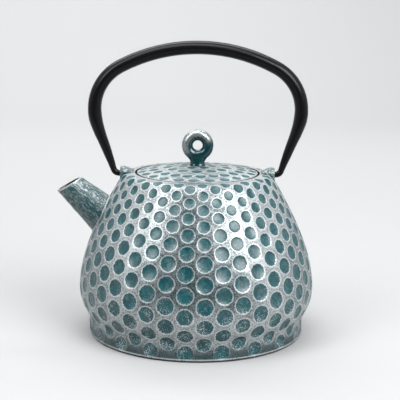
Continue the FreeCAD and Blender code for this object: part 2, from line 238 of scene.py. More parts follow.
def choose(items, piece, wanted):
    """Select the edges or faces that pass a test, in edit mode. Gives their number."""
    mesh = bmesh.from_edit_mesh(piece.data)
    for item in [*mesh.faces, *mesh.edges, *mesh.verts]:
        item.select = False
    chosen = [item for item in getattr(mesh, items) if wanted(item)]
    for item in chosen:
        item.select = True
    mesh.select_flush_mode()
    bmesh.update_edit_mesh(piece.data)
    return len(chosen)


def paint(piece, finish):
    """Give a piece one finish in place of all it had."""
    piece.data.materials.clear()
    piece.data.materials.append(finish.material)


# %% Sweep the backdrop
SHEET_SIZE = (4.0, 1.55, 1.0)
SHEET_MIDDLE = (0.0, 0.425, 0.0)
SWEEP_STEPS = 12
SWEEP_RADIUS = 0.8
SWEEP_RISE = 1.2

bpy.ops.mesh.primitive_plane_add(size=1.0)
backdrop = bpy.context.object
backdrop.name = "backdrop"
backdrop.scale = SHEET_SIZE
backdrop.location = SHEET_MIDDLE
apply_moves()
edit_mode()
choose("edges", backdrop, lambda edge: all(vertex.co.y > SHEET_MIDDLE[1] for vertex in edge.verts))
for step in range(SWEEP_STEPS):
    angle = (step + 0.5) / SWEEP_STEPS * math.pi / 2
    length = SWEEP_RADIUS * math.pi / 2 / SWEEP_STEPS
    move = (0.0, length * math.cos(angle), length * math.sin(angle))
    bpy.ops.mesh.extrude_region_move(TRANSFORM_OT_translate={"value": move})
bpy.ops.mesh.extrude_region_move(TRANSFORM_OT_translate={"value": (0.0, 0.0, SWEEP_RISE)})
pick_all()
bpy.ops.mesh.normals_make_consistent(inside=False)
object_mode()
bpy.ops.object.shade_smooth()

paper = Finish("pale_paper")
paper.set(Base_Color=(0.296, 0.300, 0.302, 1.0), Roughness=0.75, Specular_IOR_Level=0.2)
paint(backdrop, paper)
print("backdrop faces:", len(backdrop.data.polygons))

# %% Hang the lamps and light the world


def soft_lamp(name, place, aim, wide, tall, power):
    """A rectangular area lamp that faces a point."""
    lamp = bpy.data.lights.new(name, "AREA")
    lamp.shape = "RECTANGLE"
    lamp.size = wide
    lamp.size_y = tall
    lamp.energy = power
    hung = add_object(name, lamp)
    hung.location = place
    facing = Vector(aim) - Vector(place)
    hung.rotation_euler = facing.to_track_quat("-Z", "Y").to_euler()


soft_lamp("left_lamp", (-0.85, -0.68, 0.88), (0.0, 0.0, 0.06), 0.45, 0.7, 10.5)
soft_lamp("right_lamp", (0.74, -0.78, 0.78), (0.0, 0.0, 0.06), 0.78, 0.72, 25.0)
soft_lamp("top_lamp", (-0.15, -0.4, 1.35), (0.0, -0.1, 0.0), 1.2, 0.7, 18.0)
soft_lamp("backdrop_lamp", (-0.3, 0.95, 1.5), (-0.15, 1.75, 0.1), 2.2, 0.6, 52.0)

world = bpy.data.worlds.new("pale_room")
world.use_nodes = True
bpy.context.scene.world = world
air = Net(world.node_tree)
towards_back = air.add("SeparateXYZ", "Y", air.add("TexCoord", "Generated"))
room = world.node_tree.nodes["Background"]
air.feed(room.inputs["Color"], (0.97, 0.985, 1.0, 1.0))
air.feed(room.inputs["Strength"], towards_back.step(-0.95, -0.1) * 0.80 + 0.05)
print("lamps:", [item.name for item in bpy.data.lights])

# %% [markdown]
# ## Finishes
#
# The silver was wiped over the raised lands while the hollows kept their teal. On the lands a lit
# and a shaded copy of the silver are mixed as painted light: lighter at the sides, where the side
# lamps fall, low on the belly, where light from the floor falls, and on top, under the top lamp,
# and darker down the middle and at the outer edges as painted shade. The foot's lower edge is
# painted dark teal, as painted shade near the table. Two effects are shared. One breaks a colour
# into small specks, as a nearly dry brush leaves it. The other is the fine grain of iron cast in
# sand, used as height for a Bump node.
# Each is a node group with named sockets, so that every material can use it at its own strength.

# %% Node group: dry brush specks


def new_group(name, output, **sizes):
    """A node group as a net, with its inputs by name and the socket of its one output."""
    tree = bpy.data.node_groups.new(name, "ShaderNodeTree")
    tree.interface.new_socket("Vector", in_out="INPUT", socket_type="NodeSocketVector")
    for label, size in sizes.items():
        socket = tree.interface.new_socket(label, in_out="INPUT", socket_type="NodeSocketFloat")
        socket.default_value = size
    tree.interface.new_socket(output, in_out="OUTPUT", socket_type="NodeSocketFloat")
    net = Net(tree)
    start = tree.nodes.new("NodeGroupInput").outputs
    given = {label: Value(net, start[label]) for label in ("Vector", *sizes)}
    print("group:", name)
    return net, given, tree.nodes.new("NodeGroupOutput").inputs[output]


specks, given, specks_out = new_group("Dry brush specks", "Specks", Size=0.001, Share=0.2)
per_metre = 1.0 / given["Size"]
patches = specks.noise(given["Vector"], per_metre * 0.09, 2.0).step(0.38, 0.64)
limit = given["Share"] * 0.36 + 0.33 + (patches - 0.5) * 0.10
specks.feed(specks_out, (limit - specks.noise(given["Vector"], per_metre, 2.0, 0.6)).step(-0.025, 0.025))

# %% Node group: cast grain
grain, given, grain_out = new_group("Cast grain", "Height", Size=0.0015)
per_metre = 1.0 / given["Size"]
sand = grain.noise(given["Vector"], per_metre, 4.0, 0.65)
lumps = grain.noise(given["Vector"], per_metre * 0.22, 1.0)
grain.feed(grain_out, sand + lumps * 1.5)

# %% Material: dimpled enamel, with its hollows, rims and lands, and painted light and shade on the lands
TEAL = (0.0005, 0.029, 0.035, 1.0)
TEAL_LIGHT = (0.0010, 0.062, 0.072, 1.0)
DARK_TEAL = (0.0035, 0.021, 0.025, 1.0)
# On the lands SILVER and RIM_SILVER are shaded copies and SILVER_BRIGHT and RIM_BRIGHT lit copies of the
# silver, mixed by the painted light.
SILVER = (0.094, 0.108, 0.114, 1.0)
SILVER_LOW = (0.56, 0.585, 0.595, 1.0)
SILVER_BRIGHT = (0.33, 0.352, 0.360, 1.0)
RIM_SILVER = (0.25, 0.268, 0.275, 1.0)
RIM_BRIGHT = (0.40, 0.425, 0.433, 1.0)
# Where each effect starts and is complete, in metres, and for the last two in radii of a bowl.
TOP_HEIGHTS = (0.106, 0.111)
LOW_HEIGHTS = (0.022, 0.048)
FOOT_SHADE_HEIGHTS = (0.004, 0.015)
LIT_SIDE_REACH = (0.022, 0.048)
EDGE_SHADE_REACH = (0.045, 0.078)
LAND_STARTS = (0.90, 0.98)
RIM_ENDS = (1.04, 1.12)

enamel = Finish("dimpled_enamel")
spot = enamel.here()
away = enamel.add("VectorMath", "Value", enamel.add("UVMap", "UV", uv_map="dimple"), operation="LENGTH")
across = abs(enamel.add("SeparateXYZ", "X", spot))
height = enamel.add("SeparateXYZ", "Z", spot)
high_up = height.step(*TOP_HEIGHTS)
ragged = away + (enamel.noise(spot, 800.0, 3.0) - 0.5) * 0.36 - high_up * 0.13
outside = ragged.step(*LAND_STARTS)
past_rim = ragged.step(*RIM_ENDS)

# Painted light on the lands: lighter low down, at the sides and on top, darker down the middle and at the
# outer edges; painted shade at the foot's lower edge.
low_down = 1.0 - height.step(*LOW_HEIGHTS)
spread = across + (height - 0.05) * 0.35
lit_sides = spread.step(*LIT_SIDE_REACH) - across.step(*EDGE_SHADE_REACH) * 0.55
foot_shade = 1.0 - height.step(*FOOT_SHADE_HEIGHTS)
painted_light = low_down.most(lit_sides.most(high_up * 0.6)) * (1.0 - foot_shade)
enamel.tell()

# %% Colour the hollows, the rims and the lands
bare = enamel.group(specks, spot, Size=0.0009, Share=0.50)
flecks = enamel.group(specks, spot, Size=0.0006, Share=0.17) * (low_down * 0.42 + 0.12)
tone = enamel.noise(spot, 420.0, 5.0).step(0.4, 0.7)
hollow_colour = enamel.mix(flecks, enamel.mix(tone, TEAL, TEAL_LIGHT), SILVER_LOW)
# Dark teal specks of the dry brush, fewer where the painted light is strong, and painted shade on the foot's
# lower lands; the lit and shaded silver copies are mixed by the painted light.
specks_and_foot_shade = (bare * past_rim * (1.0 - painted_light * 0.5)).most((1.0 - past_rim) * flecks)
specks_and_foot_shade = specks_and_foot_shade.most(foot_shade * (bare * 0.4 + 0.58))
rim_colour = enamel.mix(painted_light, RIM_SILVER, RIM_BRIGHT)
land_colour = enamel.mix(past_rim, rim_colour, enamel.mix(painted_light, SILVER, SILVER_BRIGHT))
land_colour = enamel.mix(specks_and_foot_shade, land_colour, DARK_TEAL)

silver_share = outside * (1.0 - specks_and_foot_shade)
grit = enamel.group(grain, spot, Size=0.0014)
enamel.set(Base_Color=enamel.mix(outside, hollow_colour, land_colour), Metallic=silver_share * 0.45,
           Specular_IOR_Level=0.5, Roughness=silver_share * 0.02 + 0.34 + (grit - 1.2) * 0.12)
enamel.bump(grit + silver_share * 0.35, 0.2, 0.0003)
enamel.tell()

# %% Material: brushed rough iron for spout and lugs
STROKE_WAY = (-0.727, 0.0, 0.686)
SPOUT_TEAL = (0.0008, 0.032, 0.037, 1.0)
brushed = Finish("brushed_enamel")
spot = brushed.here()
along = brushed.add("VectorMath", "Value", spot, STROKE_WAY, operation="DOT_PRODUCT")
pulled = brushed.add("VectorMath", "Vector", STROKE_WAY, operation="SCALE", Scale=along * 0.72)
streaked = brushed.add("VectorMath", "Vector", spot, pulled, operation="SUBTRACT")
strokes = brushed.group(specks, streaked, Size=0.0010, Share=0.26)
thin = brushed.group(specks, spot, Size=0.0006, Share=0.16)
facing_up = brushed.add("SeparateXYZ", "Z", brushed.add("NewGeometry", "Normal"))
# More silver on faces that point up: partly silver brushed over the top, partly painted light from above.
silver_and_light = strokes.most(thin) * (facing_up.step(0.1, 0.7) * 0.38 + 0.30)
brushed.set(Base_Color=brushed.mix(silver_and_light, SPOUT_TEAL, SILVER_BRIGHT), Metallic=silver_and_light * 0.45,
            Specular_IOR_Level=0.55, Roughness=silver_and_light * 0.10 + 0.30)
brushed.bump(brushed.group(grain, spot, Size=0.0016), 0.7, 0.0007)
brushed.tell()

# %% Material: black enamel inside
inside = Finish("inside_enamel")
spot = inside.here()
cloud = inside.noise(spot, 60.0, 3.0)
inside.set(Base_Color=inside.mix(cloud, (0.012, 0.013, 0.014, 1.0), (0.024, 0.025, 0.026, 1.0)),
           Roughness=0.32)
inside.bump(inside.group(grain, spot, Size=0.003), 0.25, 0.0003)
inside.tell()

# %% Material: silvered edge
silvered = Finish("silvered_edge")
spot = silvered.here()
missed = silvered.group(specks, spot, Size=0.0007, Share=0.12)
grit = silvered.group(grain, spot, Size=0.0012)
silvered.set(Base_Color=silvered.mix(missed, SILVER_BRIGHT, DARK_TEAL),
             Metallic=(1.0 - missed) * 0.5, Roughness=grit * 0.3)
silvered.bump(grit, 0.5, 0.0004)
silvered.tell()

POT_FINISHES = (enamel, brushed, inside, silvered)
DIMPLED, BRUSHED, INSIDE, SILVERED = range(4)


def use_pot_finishes(piece, chosen):
    """Give a solid the pot's list of materials and one of them on all its faces."""
    for finish in POT_FINISHES:
        piece.data.materials.append(finish.material)
    for face in piece.data.polygons:
        face.material_index = chosen


# %% [markdown]
# ## One dimple
#
# Every dimple is the same small tool mark: a shallow bowl with a lip pushed up round it. It is
# modelled once on a flat square tile: a circle is extruded outwards in rings, each ring is set
# to its height, and the last ring is pulled out to the square's border. The tile's own flat
# position is kept as a UV map, so that the enamel always finds the middle of its bowl.

# %% Model the dimple tile
RING_SIDES = 16
BOWL_RINGS = ((0.5, -0.105), (0.8, -0.060), (0.94, -0.016), (1.03, 0.016))
BOWL_DEPTH = -0.130
LAND_RING = 1.5
BORDER = 2.0

bpy.ops.mesh.primitive_circle_add(vertices=RING_SIDES, radius=BOWL_RINGS[0][0], fill_type="TRIFAN")
tile = bpy.context.object
tile.name = "dimple_tile"
for vertex in tile.data.vertices:
    middle = vertex.co.length < 0.01
    vertex.co.z = BOWL_DEPTH if middle else BOWL_RINGS[0][1]
edit_mode()
bpy.ops.mesh.select_mode(type="EDGE")
choose("edges", tile, lambda edge: edge.is_boundary)
for before, after in zip(BOWL_RINGS, BOWL_RINGS[1:] + ((LAND_RING, 0.0),)):
    bpy.ops.mesh.extrude_edges_move(
        TRANSFORM_OT_translate={"value": (0.0, 0.0, after[1] - before[1])})
    spread = after[0] / before[0]
    bpy.ops.transform.resize(value=(spread, spread, 1.0), center_override=(0.0, 0.0, 0.0))
object_mode()


def to_border(flat):
    """Move a point of the outer ring out to the square, four steps to a side."""
    turn_by = round(math.atan2(flat.y, flat.x) / (math.tau / RING_SIDES)) % RING_SIDES
    side, step = divmod((turn_by + 2) % RING_SIDES, 4)
    along = (step - 2) / 2 * BORDER
    corner = Vector((BORDER, along, 0.0))
    return Matrix.Rotation(side * math.pi / 2, 3, "Z") @ corner


for vertex in tile.data.vertices:
    if vertex.co.xy.length > LAND_RING - 0.1:
        vertex.co = to_border(vertex.co)
print("dimple tile:", len(tile.data.vertices), "vertices,", len(tile.data.polygons), "faces")

# %% Keep the tile's flat position as a UV map
CELL_WIDE = 1.13
CELL_TALL = 1.25


def on_border(flat):
    """Whether a point of the tile is on its border."""
    return max(abs(flat.x), abs(flat.y)) > LAND_RING


tile_map = tile.data.uv_layers.new(name="dimple")
for loop in tile.data.loops:
    flat = tile.data.vertices[loop.vertex_index].co
    share = (CELL_WIDE / BORDER, CELL_TALL / BORDER) if on_border(flat) else (1.0, 1.0)
    tile_map.data[loop.index].uv = (flat.x * share[0], flat.y * share[1])
for face in tile.data.polygons:
    face.use_smooth = True
print("UV map:", tile_map.name)

# %% [markdown]
# ## The pot's outline
#
# The dimpled skin has to lie on the measured pot. Rays are sent at the measured model in the
# front half plane, where neither spout nor lugs are in the way, and the points they hit are the
# outline. The dimples grow with the pot's girth, so the outline gets a row scale in which one
# step is always the same share of the radius. On that scale a round mark stays round.

# %% Read the outline from the measured pot
pot_node = nodes["pot_body"]
OUTLINE_RAYS = 160
OUTLINE_TOP = 52.8
OUTLINE_SWEEP = 88.0
RAY_START = 0.3
ABOVE_FOOT = 0.002
BELOW_TABLE = -0.008
ray_heart = Vector((0.0, 0.0, 0.055))
outline = []
for index in range(OUTLINE_RAYS + 1):
    angle = math.radians(OUTLINE_TOP - index / OUTLINE_RAYS * OUTLINE_SWEEP)
    way = Vector((0.0, -math.cos(angle), math.sin(angle)))
    hit, spot_hit, _, _ = pot_node.ray_cast(ray_heart + way * RAY_START, -way)
    if hit:
        outline.append((-spot_hit.y, spot_hit.z))
outline = [place for place in outline if place[1] > ABOVE_FOOT]
foot_radius = outline[-1][0]
outline.append((foot_radius, BELOW_TABLE))
outline_radius = np.array([place[0] for place in outline])
outline_height = np.array([place[1] for place in outline])
print("outline points:", len(outline), "from", outline[0], "to the foot", round(foot_radius, 5))

# %% Give the outline its row scale
ROW_STEP = 0.0868
ROW_AT = 10.0
ROW_AT_HEIGHT = 0.0597
SLOPE_REACH = 0.35
steps = np.hypot(np.diff(outline_radius), np.diff(outline_height))
middles = (outline_radius[1:] + outline_radius[:-1]) / 2
row_scale = np.concatenate(([0.0], np.cumsum(steps / (ROW_STEP * middles))))
lower_half = np.argmax(outline_height < ROW_AT_HEIGHT)
row_scale += ROW_AT - row_scale[lower_half]


def at_row(row):
    """Radius and height of the outline at a row."""
    return np.array([np.interp(row, row_scale, outline_radius), np.interp(row, row_scale, outline_height)])


def on_outline(row):
    """Radius and height of the outline at a row, and the outward direction there."""
    radius, height = at_row(row)
    run = Vector(at_row(row + SLOPE_REACH) - at_row(row - SLOPE_REACH)).normalized()
    return float(radius), float(height), Vector((-run.y, run.x))


print("rows run from", round(float(row_scale[0]), 2), "to", round(float(row_scale[-1]), 2))

# %% [markdown]
# ## The dimpled skin
#
# Forty columns of dimples go round the pot, and every second column sits half a step lower.
# Each dimple is a copy of the tile with its own mesh, wrapped onto the outline: the border goes
# to the corners of its cell, so that neighbours meet, and the bowl is moved a little, as no two
# marks are quite alike. Joined and merged, the copies are one skin.

# %% Wrap copies of the tile round the pot
COLUMNS = 40
COLUMN_TURN = math.tau / COLUMNS
FIRST_COLUMN = math.radians(-90.0 - 4.93)
MOUTH_SHARE_TOP = 0.0655
MOUTH_SHARE_BELLY = 0.0718
GROWN_ROW = 9.0
TOP_ROW = -2
LAST_ROW = 19
hand = random.Random(7)


def on_pot(column, row, lift):
    """A point on the pot at a column and row, lifted off the skin."""
    radius, height, out = on_outline(row)
    angle = FIRST_COLUMN + column * COLUMN_TURN
    reach_out = radius + out.x * lift
    return Vector((reach_out * math.cos(angle), reach_out * math.sin(angle), height + out.y * lift))


def tile_copy(place_border, place_bowl):
    """A copy of the tile with its border and its bowl each placed by a rule."""
    copy = add_object("dimple", tile.data.copy())
    for vertex in copy.data.vertices:
        flat = vertex.co.copy()
        vertex.co = place_border(flat) if on_border(flat) else place_bowl(flat)
    return copy


def wrapped_dimple(column, row):
    """A copy of the tile on the pot."""
    radius = on_outline(row)[0]
    grown = min(1.0, max(0.0, row / GROWN_ROW))
    mouth = MOUTH_SHARE_TOP + (MOUTH_SHARE_BELLY - MOUTH_SHARE_TOP) * grown
    mouth *= radius * hand.uniform(0.955, 1.02)
    slip = Vector((hand.uniform(-0.025, 0.025), hand.uniform(-0.03, 0.03)))
    deep = hand.uniform(0.85, 1.15)

    def border(flat):
        return on_pot(column + flat.x / BORDER / 2, row - flat.y / BORDER, 0.0)

    def bowl(flat):
        across = (flat.x + slip.x) * mouth / (radius * COLUMN_TURN)
        down = (flat.y + slip.y) * mouth / (radius * ROW_STEP)
        return on_pot(column + across, row - down, flat.z * mouth * deep)

    return tile_copy(border, bowl)


marks = []
for column in range(COLUMNS):
    first_row = 0 if column % 2 == 0 else -1
    for row in range(first_row, LAST_ROW, 2):
        marks.append(wrapped_dimple(column, row))
print("dimples on the pot:", len(marks))

# %% Fill the zigzag ends and join the skin
PLAIN = 2.2


def wrapped_patch(column, row_over, row_under):
    """A plain patch of skin that fills the gap over or under a column of dimples."""
    bpy.ops.mesh.primitive_grid_add(x_subdivisions=4, y_subdivisions=2, size=2.0)
    patch = bpy.context.object
    for vertex in patch.data.vertices:
        row = row_over + (1.0 - vertex.co.y) / 2 * (row_under - row_over)
        vertex.co = on_pot(column + vertex.co.x / 2, row, 0.0)
    patch_map = patch.data.uv_layers[0]
    patch_map.name = "dimple"
    for corner in patch_map.data:
        corner.uv = (PLAIN, PLAIN)
    for face in patch.data.polygons:
        face.use_smooth = True
    return patch


for column in range(COLUMNS):
    if column % 2 == 0:
        marks.append(wrapped_patch(column, TOP_ROW, TOP_ROW + 1))
    else:
        marks.append(wrapped_patch(column, LAST_ROW - 1, LAST_ROW))


def only(piece):
    """Select one object alone and make it active."""
    if bpy.context.object and bpy.context.object.mode != "OBJECT":
        object_mode()
    bpy.ops.object.select_all(action="DESELECT")
    piece.select_set(True)
    bpy.context.view_layer.objects.active = piece


def join_all(parts, name):
    """Join objects into one and merge the borders that lie together."""
    only(parts[0])
    for part in parts:
        part.select_set(True)
    bpy.ops.object.join()
    whole = bpy.context.object
    whole.name = name
    edit_mode()
    pick_all()
    bpy.ops.mesh.remove_doubles(threshold=0.00002)
    object_mode()
    return whole


pot = join_all(marks, "pot_shell")
print("pot skin:", len(pot.data.polygons), "faces")

# %% [markdown]
# ## Foot, base and top
#
# The skin runs on below the table, so it is cut level just above it. The open edge is extruded
# down round the foot's lower edge and closed underneath. The open edge at the top is extruded
# across to the middle, so that the pot is a full solid that other solids can join or cut.

# %% Cut the foot and close the base


def open_edges(piece, wanted):
    """Select the open edges whose ends pass a test, in edit mode."""
    return choose("edges", piece, lambda edge: edge.is_boundary
                  and all(wanted(vertex.co) for vertex in edge.verts))


def extrude_to(piece, radius, height):
    """Extrude the selected ring and set it to a circle about the pot's axis."""
    bpy.ops.mesh.extrude_edges_move()
    mesh = bmesh.from_edit_mesh(piece.data)
    for vertex in mesh.verts:
        if vertex.select:
            flat = vertex.co.xy.normalized() * radius
            vertex.co = (flat.x, flat.y, height)
    bmesh.update_edit_mesh(piece.data)


NEAR = 0.0001
HALF_ROUND = 0.29
FOOT_EDGE = 0.0024
FOOT_ROUND = 0.0014
only(pot)
edit_mode()
bpy.ops.mesh.select_mode(type="EDGE")
pick_all()
bpy.ops.mesh.bisect(plane_co=(0.0, 0.0, FOOT_EDGE), plane_no=(0.0, 0.0, 1.0), clear_inner=True)
found = open_edges(pot, lambda place: place.z < FOOT_EDGE + 2 * NEAR)
extrude_to(pot, foot_radius, FOOT_ROUND)
extrude_to(pot, foot_radius - FOOT_ROUND * HALF_ROUND, FOOT_ROUND * HALF_ROUND)
extrude_to(pot, foot_radius - FOOT_ROUND, 0.0)
bpy.ops.mesh.edge_face_add()
print("foot edge:", found, "edges")

# %% Close the top
UNDER_SEAT = 0.105
SEAT_RADIUS = 0.0434
SHOULDER_HEIGHT = 0.1126
found = open_edges(pot, lambda place: place.z > UNDER_SEAT)
shoulder_radius = on_outline(TOP_ROW)[0]
extrude_to(pot, SEAT_RADIUS, SHOULDER_HEIGHT)
bpy.ops.mesh.edge_face_add()
pick_all()
bpy.ops.mesh.normals_make_consistent(inside=False)
object_mode()
use_pot_finishes(pot, DIMPLED)
# The faces under the foot edge: the lowest get the black inside enamel, the bare underside, which also paints
# a line of shade where the foot meets the table; the others get the silvered edge.
for face in pot.data.polygons:
    if face.center.z < FOOT_EDGE - NEAR:
        face.material_index = INSIDE if face.center.z < FOOT_ROUND else SILVERED


def plain_map(piece, wanted):
    """Mark the faces that pass a test as plain land, away from any dimple."""
    layer = piece.data.uv_layers["dimple"]
    for face in piece.data.polygons:
        if wanted(face):
            for corner in face.loop_indices:
                layer.data[corner].uv = (PLAIN, PLAIN)


plain_map(pot, lambda face: face.center.z < FOOT_EDGE - NEAR)
plain_map(pot, lambda face: face.center.z > UNDER_SEAT and face.center.xy.length < shoulder_radius - NEAR)
print("top edge:", found, "edges at radius", round(shoulder_radius, 5), "faces", len(pot.data.polygons))

# %% [markdown]
# ## Spout, lugs and hollow
#
# The spout is a straight tapering oval tube, cut off across its end. A cylinder gives the ring
# of faces, and each point of it is moved to the oval at its place along the spout. A little
# noise makes its wall uneven, like sand-cast iron. The lugs are small round-topped ears. The
# hollow is turned about the axis with Spin. Solids like these are joined and cut with the
# Boolean modifier, in the order in which a pattern maker thinks: first all that is solid, then
# what is hollow.

# %% Shape the spout and its channel
SPOUT_TOP = (Vector((-0.0626, 0.0, 0.0960)), Vector((-0.0810, 0.0, 0.1084)))
SPOUT_LOW = (Vector((-0.0712, 0.0, 0.0685)), Vector((-0.0976, 0.0, 0.0989)))
SPOUT_WIDE = (0.0250, 0.0156)
SPOUT_WALL = (0.0032, 0.0013)
SPOUT_RINGS = 36
LIP = 0.0010


def modify(piece, kind, **values):
    """Add a modifier with its values and apply it."""
    only(piece)
    change = piece.modifiers.new(kind.lower(), kind)
    for name, value in values.items():
        setattr(change, name, value)
    bpy.ops.object.modifier_apply(modifier=change.name)


def slice_level(heights):
    """Cut the active mesh level at each height, to give it rings."""
    edit_mode()
    for height in heights:
        pick_all()
        bpy.ops.mesh.bisect(plane_co=(0.0, 0.0, height), plane_no=(0.0, 0.0, 1.0))
    object_mode()


def tidy_normals(piece):
    """Merge doubles and turn all faces outwards, which a positive volume shows."""
    only(piece)
    edit_mode()
    pick_all()
    bpy.ops.mesh.remove_doubles(threshold=0.000005)
    bpy.ops.mesh.normals_make_consistent(inside=False)
    if bmesh.from_edit_mesh(piece.data).calc_volume(signed=True) < 0.0:
        bpy.ops.mesh.flip_normals()
    object_mode()


def spout_solid(name, start, end, wall, finish):
    """A tapering oval solid between two shares of the spout's length, thinner by a wall."""
    bpy.ops.mesh.primitive_cylinder_add(vertices=56, radius=1.0, depth=1.0)
    solid = bpy.context.object
    solid.name = name
    slice_level([ring / SPOUT_RINGS - 0.5 for ring in range(1, SPOUT_RINGS)])
    for vertex in solid.data.vertices:
        share = start + (vertex.co.z + 0.5) * (end - start)
        top = SPOUT_TOP[0].lerp(SPOUT_TOP[1], share)
        low = SPOUT_LOW[0].lerp(SPOUT_LOW[1], share)
        thin = wall * (SPOUT_WALL[0] + (SPOUT_WALL[1] - SPOUT_WALL[0]) * share)
        half_tall = (top - low) / 2
        half_tall -= half_tall.normalized() * thin
        half_wide = (SPOUT_WIDE[0] + (SPOUT_WIDE[1] - SPOUT_WIDE[0]) * share) / 2 - thin
        vertex.co = (top + low) / 2 + half_tall * vertex.co.x + Vector((0.0, half_wide * vertex.co.y, 0.0))
    tidy_normals(solid)
    use_pot_finishes(solid, finish)
    return solid


spout = spout_solid("spout", -0.3, 1.0, 0.0, BRUSHED)
uneven = bpy.data.textures.new("sand_cast", "CLOUDS")
uneven.noise_scale = 0.004
modify(spout, "DISPLACE", texture=uneven, texture_coords="LOCAL", strength=0.0007, mid_level=0.5)
spout_axis = ((SPOUT_TOP[1] + SPOUT_LOW[1]) - (SPOUT_TOP[0] + SPOUT_LOW[0])).normalized()
spout_end = (SPOUT_TOP[1] + SPOUT_LOW[1]) / 2
end_normal = (SPOUT_TOP[1] - SPOUT_LOW[1]).cross(Vector((0.0, 1.0, 0.0))).normalized()
if end_normal.dot(spout_axis) < 0.0:
    end_normal.negate()
for face in spout.data.polygons:
    if (spout_end - face.center).dot(end_normal) < LIP:
        face.material_index = SILVERED
channel = spout_solid("channel", -0.45, 1.3, 1.0, INSIDE)
print("spout faces:", len(spout.data.polygons), "channel faces:", len(channel.data.polygons))

# %% Shape the lugs and their sockets
LUG_RADIUS = 0.005
LUG_FACE = 0.0535
LUG_BACK = 0.0445
LUG_CREST = 0.0503
PIVOT_HEIGHT = 0.1115
LUG_SLOPE = math.radians(29.0)
LUG_SPREAD = LUG_RADIUS * 1.08
LUG_ROOT = PIVOT_HEIGHT - LUG_RADIUS * 1.2
SOCKET_RADIUS = 0.0023
SOCKET_LENGTH = 0.016
SOCKET_MIDDLE = 0.0537


def lying_cylinder(radius, length, middle):
    """A cylinder along the pins' axis, with its middle at a distance from the pot's axis."""
    bpy.ops.mesh.primitive_cylinder_add(vertices=32, radius=radius, depth=length)
    made = bpy.context.object
    made.rotation_euler = (0.0, math.pi / 2, 0.0)
    made.location = (middle, 0.0, PIVOT_HEIGHT)
    apply_moves()
    return made


def lug_solid(side):
    """A round-topped ear on the shoulder with a back that slopes to the lid."""
    lug = lying_cylinder(LUG_RADIUS, LUG_FACE - LUG_BACK, (LUG_FACE + LUG_BACK) / 2)
    for vertex in lug.data.vertices:
        if vertex.co.z < PIVOT_HEIGHT - 2 * NEAR:
            off_middle = abs(vertex.co.y) > 2 * NEAR
            vertex.co.y = math.copysign(LUG_SPREAD, vertex.co.y) if off_middle else 0.0
            vertex.co.z = LUG_ROOT
    tidy_normals(lug)
    edit_mode()
    pick_all()
    bpy.ops.mesh.bisect(
        plane_co=(LUG_CREST, 0.0, PIVOT_HEIGHT + LUG_RADIUS),
        plane_no=(-math.sin(LUG_SLOPE), 0.0, math.cos(LUG_SLOPE)),
        use_fill=True, clear_outer=True)
    pick_all()
    bpy.ops.mesh.normals_make_consistent(inside=False)
    object_mode()
    modify(lug, "BEVEL", width=0.0007, segments=2, limit_method="ANGLE", angle_limit=math.radians(35.0))
    if side < 0:
        lug.rotation_euler = (0.0, 0.0, math.pi)
        apply_moves()
    use_pot_finishes(lug, BRUSHED)
    return lug


def pin_socket(side):
    """The blind round hole for a pin of the handle."""
    socket = lying_cylinder(SOCKET_RADIUS, SOCKET_LENGTH, side * SOCKET_MIDDLE)
    use_pot_finishes(socket, INSIDE)
    return socket


lugs = [lug_solid(1), lug_solid(-1)]
sockets = [pin_socket(1), pin_socket(-1)]
print("lug faces:", len(lugs[0].data.polygons))

# %% Turn the hollow


def turned(name, outline_points, steps=96):
    """Turn a closed half outline of (radius, height) about the pot's axis with Spin."""
    mesh = bpy.data.meshes.new(name)
    places = [(radius, 0.0, height) for radius, height in outline_points]
    ends = len(places)
    ring = [(index, (index + 1) % ends) for index in range(ends)]
    mesh.from_pydata(places, ring, [])
    piece = add_object(name, mesh)
    only(piece)
    edit_mode()
    bpy.ops.mesh.select_mode(type="VERT")
    pick_all()
    bpy.ops.mesh.spin(steps=steps, angle=math.tau, center=(0.0, 0.0, 0.0), axis=(0.0, 0.0, 1.0))
    object_mode()
    tidy_normals(piece)
    edit_mode()
    pick_all()
    bpy.ops.mesh.dissolve_degenerate(threshold=0.000001)
    object_mode()
    return piece


FLOOR_HEIGHT = 0.005
SEAT_HEIGHT = 0.1085
MOUTH_RADIUS = 0.0365
CUT_TOP = 0.1165
WALL_LOW = 0.0054
WALL_STEPS = 36
WALL_RANGE = UNDER_SEAT - 0.0058
FLOOR_ROUND = 0.003
SEAT_ROUND = 0.0008
wall_points = []
for index in range(WALL_STEPS + 1):
    height = WALL_LOW + index / WALL_STEPS * WALL_RANGE
    hit, place, _, _ = pot_node.ray_cast(Vector((0.0, 0.0, height)), Vector((0.0, -1.0, 0.0)))
    if hit:
        wall_points.append((-place.y, height))
hollow = turned("hollow", [
    (0.0, FLOOR_HEIGHT), (wall_points[0][0] - FLOOR_ROUND, FLOOR_HEIGHT), *wall_points,
    (wall_points[-1][0] - SEAT_ROUND, UNDER_SEAT), (MOUTH_RADIUS, UNDER_SEAT),
    (MOUTH_RADIUS, SEAT_HEIGHT), (SEAT_RADIUS, SEAT_HEIGHT), (SEAT_RADIUS, CUT_TOP), (0.0, CUT_TOP),
])
use_pot_finishes(hollow, INSIDE)
print("hollow:", len(hollow.data.polygons), "faces, wall from", wall_points[0], "to", wall_points[-1])

# %% Join the solids


def combine(piece, tool, operation):
    """Join a tool to a solid, or cut it away, and remove the tool."""
    modify(piece, "BOOLEAN", operation=operation, solver="MANIFOLD", object=tool)
    bpy.data.objects.remove(tool)


def loose_edges(piece):
    """How many edges don't have exactly two faces."""
    mesh = bmesh.new()
    mesh.from_mesh(piece.data)
    count = sum(1 for edge in mesh.edges if not edge.is_manifold)
    mesh.free()
    return count


combine(pot, spout, "UNION")
for lug in lugs:
    combine(pot, lug, "UNION")
print("pot with spout and lugs:", len(pot.data.polygons), "faces,", loose_edges(pot), "loose edges")

